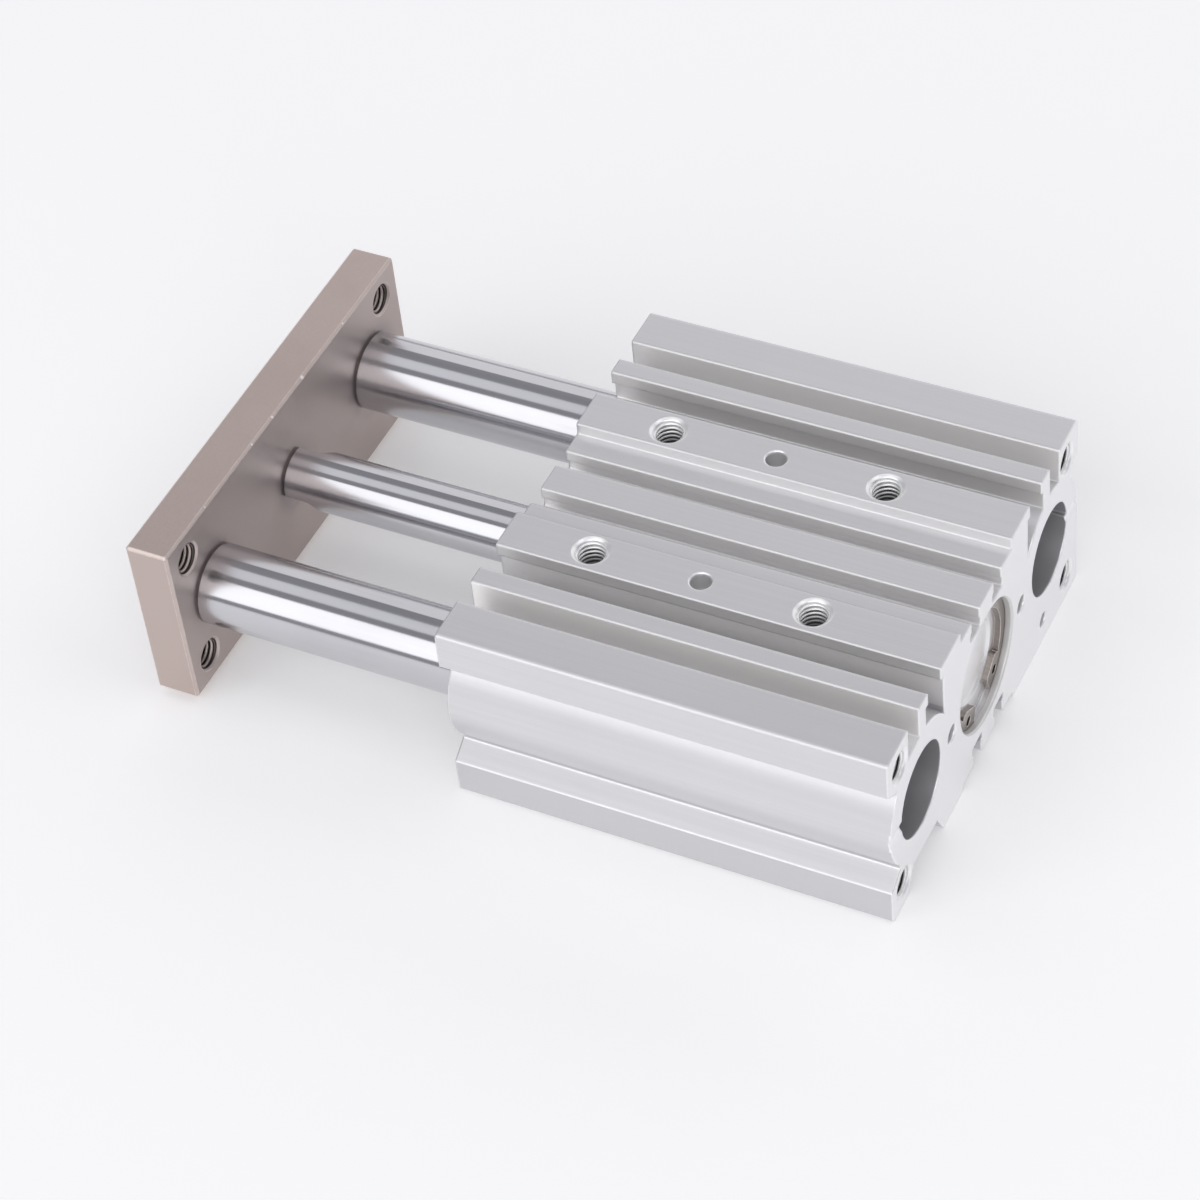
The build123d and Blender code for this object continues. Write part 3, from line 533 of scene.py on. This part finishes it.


# Body finish: the skin, then each kind of hole and edge laid over it in turn, some as painted shade and
# others as painted highlight, with bump from lines and pits.
def makeBodyMaterial(look, at):
    material, tree, shader, place = newMaterial("anodisedBody")
    coordinates = splitVector(tree, place)
    grain = {"Fineness": look["lineFineness"], "Stretch": look["lineStretch"]}
    lines = useGroup(tree, drawnLines, place, **grain)["Value"]
    skin = useGroup(tree, blastedSkin, place, Scale=look["skinScale"])["Value"]
    edgeInputs = {"Radius": look["edgeRadius"], "Breakup": look["edgeBreakup"]}
    edge = useGroup(tree, edgeWearAndHighlight, place, **edgeInputs)
    masks = bodyMasks(tree, coordinates, at)
    masks["edge"] = edge["Mask"]
    base = bodySkin(tree, place, coordinates, lines, at, look)
    for layer in ("hollow", "cut", "dowel", "mouth", "rim", "edge", "groove", "deep", "vent"):
        base = mixColour(tree, masks[layer], base, look[layer])
    feed(tree, shader["Base Color"], base)
    metallic = mixValue(tree, masks["mouth"], look["metallic"], look["mouthMetallic"])
    feed(tree, shader["Metallic"], mixValue(tree, masks["deep"], metallic, look["deepMetallic"]))
    rough = mapRange(tree, skin, 0.3, 0.7, look["roughness"] - 0.03, look["roughness"] + 0.04)
    rough = mixValue(tree, masks["cut"], rough, look["cutRoughness"])
    feed(tree, shader["Roughness"], mixValue(tree, edge["Mask"], rough, look["edgeRoughness"]))
    height = mathNode(tree, "ADD", times(tree, lines, 0.6), times(tree, skin, 0.5))
    normal = bump(tree, height, look["bumpStrength"], look["bumpHeight"], edge["Normal"])
    feed(tree, shader["Normal"], normal)
    return material


platePlaces = {  # where the solids have these forms, apart from the nicks
    "inner": 144.55 * mm,  # x below this is the face towards the body
    "innerRim": 145.0 * mm,
    "tappedFrom": 144.6 * mm,
    "side": 45.35 * mm,
    "tapped": (39.0 * mm, 13.0 * mm),
    "tappedRadius": 3.3 * mm,
    "rods": ((0.0, 6.0 * mm), (32.0 * mm, 8.0 * mm)),  # y and radius
    "rodDarkeningWidth": 3.5 * mm,
    "nickEdge": (144.6 * mm, 18.8 * mm),  # x and z of the edge between the inner face and the top
    "nicks": (  # y and radius
        (4.2 * mm, 0.42 * mm),
        (-7.8 * mm, 0.55 * mm),
        (12.3 * mm, 0.35 * mm),
        (-24.5 * mm, 0.3 * mm),
        (30.5 * mm, 0.28 * mm),
    ),
}

plateLook = {
    "skin": (0.655, 0.55, 0.51),
    "skinDark": (0.585, 0.495, 0.46),
    "inner": (0.47, 0.405, 0.385),  # painted shade on the face towards the body, duller than the top
    "side": (0.565, 0.475, 0.44),  # the narrow faces
    "crest": (0.60, 0.53, 0.50),
    # painted shade in the roots of the tapped threads
    "groove": (0.10, 0.085, 0.08),
    "edge": (0.86, 0.78, 0.74),
    "rodDarkening": (0.40, 0.35, 0.34),  # darker round the rods
    "nick": (0.95, 0.88, 0.85),
    "roughness": 0.40,
    "edgeRadius": 0.35 * mm,
    "edgeBreakup": 0.55,
    "patchScale": 55.0,
    "patchAmount": 0.7,
    "skinScale": 4200.0,
    "skinContrast": 0.6,
    "bumpHeight": 0.02 * mm,
    "bumpStrength": 0.3,
}


# Plate finish: blasted nickel with painted shade on the inner face, darker round the three rods on the inner
# face, and a few bright nicks on the edge between the inner face and the top, each a small ball round a point
# on that edge.
def makePlateMaterial(look, at):
    material, tree, shader, place = newMaterial("platedPlate")
    x, y, z = splitVector(tree, place)
    sideY, sideZ = positive(tree, y), positive(tree, z)
    skin = useGroup(tree, blastedSkin, place, Scale=look["skinScale"])["Value"]
    marks = {"Scale": look["patchScale"], "Amount": look["patchAmount"]}
    patches = useGroup(tree, handlingMarks, place, **marks)["Mask"]
    edgeInputs = {"Radius": look["edgeRadius"], "Breakup": look["edgeBreakup"]}
    edge = useGroup(tree, edgeWearAndHighlight, place, **edgeInputs)
    pitted = mapRange(tree, skin, 0.3, 0.7, 0.0, look["skinContrast"])
    base = mixColour(tree, pitted, look["skin"], look["skinDark"])
    base = mixColour(tree, times(tree, patches, 0.5), base, look["skinDark"])
    # painted shade on the face towards the body
    base = mixColour(tree, times(tree, under(tree, x, at["inner"]), 0.85), base, look["inner"])
    base = mixColour(tree, above(tree, sideY, at["side"]), base, look["side"])
    cloud = mapRange(tree, patches, 0.0, 0.5, 0.35, 1.0)
    for rodY, radius in at["rods"]:
        distance = radiusFrom(tree, (sideY, z), (rodY, 0.0))
        near = mapRange(tree, distance, radius + at["rodDarkeningWidth"], radius)
        rodDarkening = times(tree, near, under(tree, x, at["innerRim"]), cloud)
        base = mixColour(tree, rodDarkening, base, look["rodDarkening"])
    base = mixColour(tree, edge["Mask"], base, look["edge"])
    tapped = within(tree, (sideY, sideZ), at["tapped"], at["tappedRadius"])
    base = mixColour(tree, times(tree, tapped, above(tree, x, at["tappedFrom"])), base, look["crest"])
    # painted shade in the roots of the tapped threads
    base = mixColour(tree, root(tree, (sideY, sideZ), at["tapped"]), base, look["groove"])
    nickX, nickZ = at["nickEdge"]
    for nickY, radius in at["nicks"]:
        point = addNode(tree, "ShaderNodeVectorMath", operation="DISTANCE")
        tree.links.new(place, point.inputs[0])
        point.inputs[1].default_value = (nickX, nickY, nickZ)
        mask = mapRange(tree, point.outputs["Value"], radius, 0.6 * radius)
        base = mixColour(tree, mask, base, look["nick"])
    feed(tree, shader["Base Color"], base)
    shader["Metallic"].default_value = 1.0
    rough = mapRange(tree, patches, 0.0, 1.0, look["roughness"], look["roughness"] + 0.1)
    feed(tree, shader["Roughness"], rough)
    normal = bump(tree, skin, look["bumpStrength"], look["bumpHeight"], edge["Normal"])
    feed(tree, shader["Normal"], normal)
    return material


chromeLook = {
    "metal": (0.605, 0.605, 0.63),
    "film": (0.555, 0.557, 0.58),  # thin film of oil
    "roughness": 0.18,
    "filmRoughness": 0.24,
    "filmScale": 30.0,
    "filmAmount": 0.8,
    "streakFineness": 900.0,
    "streakStretch": 0.02,
    "grinding": 0.85,  # the wheel's marks run round the rod and blur the reflections along it
    "grindingTurn": 0.25,
}


# Rod finish: ground and polished chrome with a patchy, streaky film of oil, blurred along X.
def makeChromeMaterial(look):
    material, tree, shader, place = newMaterial("hardChrome")
    marks = {"Scale": look["filmScale"], "Amount": look["filmAmount"]}
    film = useGroup(tree, handlingMarks, place, **marks)["Mask"]
    grain = {"Fineness": look["streakFineness"], "Stretch": look["streakStretch"]}
    streak = useGroup(tree, drawnLines, place, **grain)["Value"]
    mixed = times(tree, film, mapRange(tree, streak, 0.35, 0.7, 0.3, 1.0))
    feed(tree, shader["Base Color"], mixColour(tree, mixed, look["metal"], look["film"]))
    shader["Metallic"].default_value = 1.0
    feed(tree, shader["Roughness"], mixValue(tree, mixed, look["roughness"], look["filmRoughness"]))
    shader["Anisotropic"].default_value = look["grinding"]
    shader["Anisotropic Rotation"].default_value = look["grindingTurn"]
    tangent = addNode(tree, "ShaderNodeTangent", direction_type="RADIAL", axis="X")
    feed(tree, shader["Tangent"], tangent.outputs[0])
    return material


metalLooks = {
    "springSteel": {
        "base": (0.36, 0.32, 0.295),
        # on the ring's edges: wear and a painted highlight
        "worn": (0.80, 0.75, 0.71),
        "roughness": 0.22,
        "lineStrength": 0.15,
        "edgeRadius": 0.22 * mm,
        "marks": 0.3,
    },
    "bearingBronze": {
        "base": (0.50, 0.37, 0.20),
        "worn": (0.70, 0.55, 0.33),
        "roughness": 0.35,
        "lineStrength": 0.1,
        "edgeRadius": 0.15 * mm,
        "marks": 0.3,
    },
    "screwSteel": {
        "base": (0.50, 0.49, 0.47),
        "worn": (0.75, 0.74, 0.72),
        "roughness": 0.30,
        "lineStrength": 0.08,
        "edgeRadius": 0.15 * mm,
        "marks": 0.25,
    },
}


metalShared = {
    "lines": {"Fineness": 1800.0, "Stretch": 0.05},
    "patchScale": 45.0,
    "edgeBreakup": 0.5,
    "darker": 0.82,
    "bumpHeight": 0.03 * mm,
}


# Small metal parts: lines of two shades, darker and rougher handling marks, and lighter worn edges, which on
# the spring steel are also a painted highlight.
def makeMetal(name, look, shared):
    material, tree, shader, place = newMaterial(name)
    lines = useGroup(tree, drawnLines, place, **shared["lines"])["Value"]
    marks = {"Scale": shared["patchScale"], "Amount": look["marks"]}
    patches = useGroup(tree, handlingMarks, place, **marks)["Mask"]
    edgeInputs = {"Radius": look["edgeRadius"], "Breakup": shared["edgeBreakup"]}
    edge = useGroup(tree, edgeWearAndHighlight, place, **edgeInputs)
    darker = tuple(shared["darker"] * c for c in look["base"])
    colour = mixColour(tree, mapRange(tree, lines, 0.3, 0.7), darker, look["base"])
    colour = mixColour(tree, patches, colour, darker)
    feed(tree, shader["Base Color"], mixColour(tree, edge["Mask"], colour, look["worn"]))
    shader["Metallic"].default_value = 1.0
    rough = mapRange(tree, patches, 0.0, 1.0, look["roughness"], look["roughness"] + 0.2)
    feed(tree, shader["Roughness"], rough)
    normal = bump(tree, lines, look["lineStrength"], shared["bumpHeight"], edge["Normal"])
    feed(tree, shader["Normal"], normal)
    return material


turnedLook = {
    "base": (0.92, 0.915, 0.915),
    "worn": (0.95, 0.95, 0.95),
    "roughness": 0.40,
    "pitch": 0.18 * mm,
    "edgeRadius": 0.25 * mm,
    "edgeBreakup": 0.2,
    "markScale": 90.0,
    "markAmount": 0.3,
    "darker": 0.85,
    "bumpHeight": 0.02 * mm,
    "bumpStrength": 0.06,
}


# Turned parts: rings round the X axis in roughness and bump, and faint handling marks.
def makeTurned(name, look):
    material, tree, shader, place = newMaterial(name)
    rings = useGroup(tree, turnedRings, place, Pitch=look["pitch"])["Value"]
    edgeInputs = {"Radius": look["edgeRadius"], "Breakup": look["edgeBreakup"]}
    edge = useGroup(tree, edgeWearAndHighlight, place, **edgeInputs)
    marks = {"Scale": look["markScale"], "Amount": look["markAmount"]}
    patches = useGroup(tree, handlingMarks, place, **marks)["Mask"]
    colour = mixColour(tree, patches, look["base"], tuple(look["darker"] * c for c in look["base"]))
    feed(tree, shader["Base Color"], mixColour(tree, edge["Mask"], colour, look["worn"]))
    shader["Metallic"].default_value = 1.0
    rough = mapRange(tree, rings, -1.0, 1.0, look["roughness"] - 0.04, look["roughness"] + 0.06)
    feed(tree, shader["Roughness"], rough)
    normal = bump(tree, rings, look["bumpStrength"], look["bumpHeight"], edge["Normal"])
    feed(tree, shader["Normal"], normal)
    return material


rubberLooks = {
    "sealRubber": {"base": (0.025, 0.025, 0.026), "roughness": 0.6},
    "bumperRubber": {"base": (0.07, 0.075, 0.085), "roughness": 0.5},
    "guideResin": {"base": (0.40, 0.32, 0.20), "roughness": 0.45},
    "magnetCompound": {"base": (0.05, 0.05, 0.055), "roughness": 0.5},
}


rubberShared = {"skinScale": 3500.0, "bumpHeight": 0.03 * mm, "bumpStrength": 0.3}


# Rubber and resin: a fine moulded skin in two shades, with the same skin in roughness and bump.
def makeRubber(name, look, shared):
    material, tree, shader, place = newMaterial(name)
    skin = useGroup(tree, blastedSkin, place, Scale=shared["skinScale"])["Value"]
    lighter = tuple(1.6 * c + 0.01 for c in look["base"])
    feed(tree, shader["Base Color"], mixColour(tree, mapRange(tree, skin, 0.35, 0.65), look["base"], lighter))
    rough = mapRange(tree, skin, 0.3, 0.7, look["roughness"] - 0.05, look["roughness"] + 0.05)
    feed(tree, shader["Roughness"], rough)
    feed(tree, shader["Normal"], bump(tree, skin, shared["bumpStrength"], shared["bumpHeight"]))
    return material


metals = {name: makeMetal(name, look, metalShared) for name, look in metalLooks.items()}
rubbers = {name: makeRubber(name, look, rubberShared) for name, look in rubberLooks.items()}
materials = {
    "anodised_alloy": makeBodyMaterial(bodyLook, bodyPlaces),
    "plated_steel": makePlateMaterial(plateLook, platePlaces),
    "hard_chrome": makeChromeMaterial(chromeLook),
    "turned_alloy": makeTurned("turnedAlloy", turnedLook),
    "spring_steel": metals["springSteel"],
    "bearing_bronze": metals["bearingBronze"],
    "screw_steel": metals["screwSteel"],
    "seal_rubber": rubbers["sealRubber"],
    "bumper_rubber": rubbers["bumperRubber"],
    "guide_resin": rubbers["guideResin"],
    "magnet_compound": rubbers["magnetCompound"],
}

slotOf = {entry["node"]: entry["material_slot"] for entry in frame["record"]["subparts"]}
for name, node in nodes.items():
    node.data.materials.clear()
    node.data.materials.append(materials[slotOf[name]])
print("stage: materials on", len(nodes), "nodes")


def newPiece(name, points, faces, slot, body):
    mesh = bpy.data.meshes.new(name)
    mesh.from_pydata(points.tolist(), [], faces.tolist())
    mesh.polygons.foreach_set("use_smooth", np.full(len(faces), True))
    mesh.update()
    mesh.materials.append(materials[slot])
    piece = bpy.data.objects.new(name, mesh)
    bpy.context.scene.collection.objects.link(piece)
    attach(piece, body)


sixMillimetre = {
    "radius": 3.0 * mm,
    "start": 0.52 * mm,  # below the countersink
    "pitch": 1.0 * mm,
    "height": 0.5 * mm,
    "columns": 40,
}

threadSpecs = {
    "body": {**sixMillimetre, "depth": 11.9 * mm},
    "plate": {**sixMillimetre, "depth": 8.45 * mm},
    "port": {
        "radius": 4.85 * mm,
        "depth": 7.9 * mm,
        "start": 0.65 * mm,
        "pitch": 0.907 * mm,
        "height": 0.45 * mm,
        "columns": 56,
    },
}

threadPlaces = {  # in mm, where the solids have these holes
    "topPlaces": (("rear", 26.3), ("front", 70.3)),
    "topSides": (("near", 17.0), ("far", -17.0)),
    "topLevel": 21.0,  # the ports open as far below the axis
    "endSides": (("near", 41.0), ("far", -41.0)),
    "endLevels": (("upper", 15.5), ("lower", -15.5)),
    "plateSides": (("near", 39.0), ("far", -39.0)),
    "plateLevels": (("upper", 13.0), ("lower", -13.0)),
    "plateFront": 153.5,
    "portPlaces": (("rear", 11.2), ("front", 76.0)),
    "portSide": -28.5,
}


linerSpec = {
    "rowsPerTurn": 8,
    "steepness": 1.35,  # of the flanks, which leaves the crests and roots flat
    "rootFlat": 0.15,
    "runOut": 0.02,  # share of the height that is left at the bottom
    "wallGap": 0.01 * mm,  # between the hole's wall and the roots
    "outerGap": 0.004 * mm,  # and the liner's plain outer wall
}


# Thread liner: a row goes once round the hole, and the rows go down the threaded wall and back up the plain
# outer wall, which closes the loop. The threaded wall's radius is a triangle wave of depth minus pitch times
# the share of a turn, so that it winds. Near the mouth it narrows by no more than the depth below the start,
# and near the bottom by no more than the depth that is left.
def threadLiner(mouth, outward, radius, depth, start, pitch, height, columns):
    rows = int(linerSpec["rowsPerTurn"] * (depth - start) / pitch) + 1
    total = rows + 2
    u = np.linspace(0.0, 1.0, columns, endpoint=False)[None, :]
    s = np.linspace(start, depth, rows)[:, None]
    phase = (s / pitch - u) % 1.0
    wave = 1.0 - np.abs(2.0 * phase - 1.0)
    tooth = np.clip(linerSpec["steepness"] * wave - linerSpec["rootFlat"], 0.0, 1.0)
    cone = np.minimum(s - start, height)
    runOut = np.maximum(depth - s, linerSpec["runOut"] * height)
    inner = radius - linerSpec["wallGap"] - np.minimum(height * tooth, np.minimum(cone, runOut))
    outer = np.full((2, columns), radius - linerSpec["outerGap"])
    r = np.vstack([inner, outer])[..., None]
    bottom, top = np.full((1, columns), depth), np.full((1, columns), start)
    along = np.vstack([np.repeat(s, columns, axis=1), bottom, top])[..., None]
    angle = np.repeat(2 * np.pi * u, total, axis=0)[..., None]
    axis = np.array(outward, float)
    side = np.cross(axis, (0.0, 0.0, 1.0) if abs(axis[2]) < 0.5 else (1.0, 0.0, 0.0))
    side /= np.linalg.norm(side)
    other = np.cross(axis, side)
    turn = np.cos(angle) * side + np.sin(angle) * other
    points = np.array(mouth)[None, None, :] - along * axis + r * turn
    i, j = np.meshgrid(np.arange(total), np.arange(columns), indexing="ij")
    nextRow, nextColumn = (i + 1) % total, (j + 1) % columns
    ring = (i * columns + j, i * columns + nextColumn, nextRow * columns + nextColumn, nextRow * columns + j)
    return points.reshape(-1, 3), np.stack(ring, axis=-1).reshape(-1, 4)


def addThread(name, mouth, outward, kind, slot, body):
    points, faces = threadLiner([mm * v for v in mouth], outward, **threadSpecs[kind])
    newPiece("thread_" + name, points, faces, slot, body)


def makeThreads(at):
    alloy = ("anodised_alloy", "cylinder_body")
    plated = ("plated_steel", "rods_and_plate")
    for place, x in at["topPlaces"]:
        for side, y in at["topSides"]:
            addThread("top_" + side + "_" + place, (x, y, at["topLevel"]), (0, 0, 1), "body", *alloy)
    for side, y in at["endSides"]:
        for place, z in at["endLevels"]:
            addThread("end_" + side + "_" + place, (0.0, y, z), (-1, 0, 0), "body", *alloy)
    for side, y in at["plateSides"]:
        for place, z in at["plateLevels"]:
            addThread("plate_" + side + "_" + place, (at["plateFront"], y, z), (1, 0, 0), "plate", *plated)
    for place, x in at["portPlaces"]:
        addThread("port_" + place, (x, at["portSide"], -at["topLevel"]), (0, 0, -1), "port", *alloy)


makeThreads(threadPlaces)
print("stage: threads")
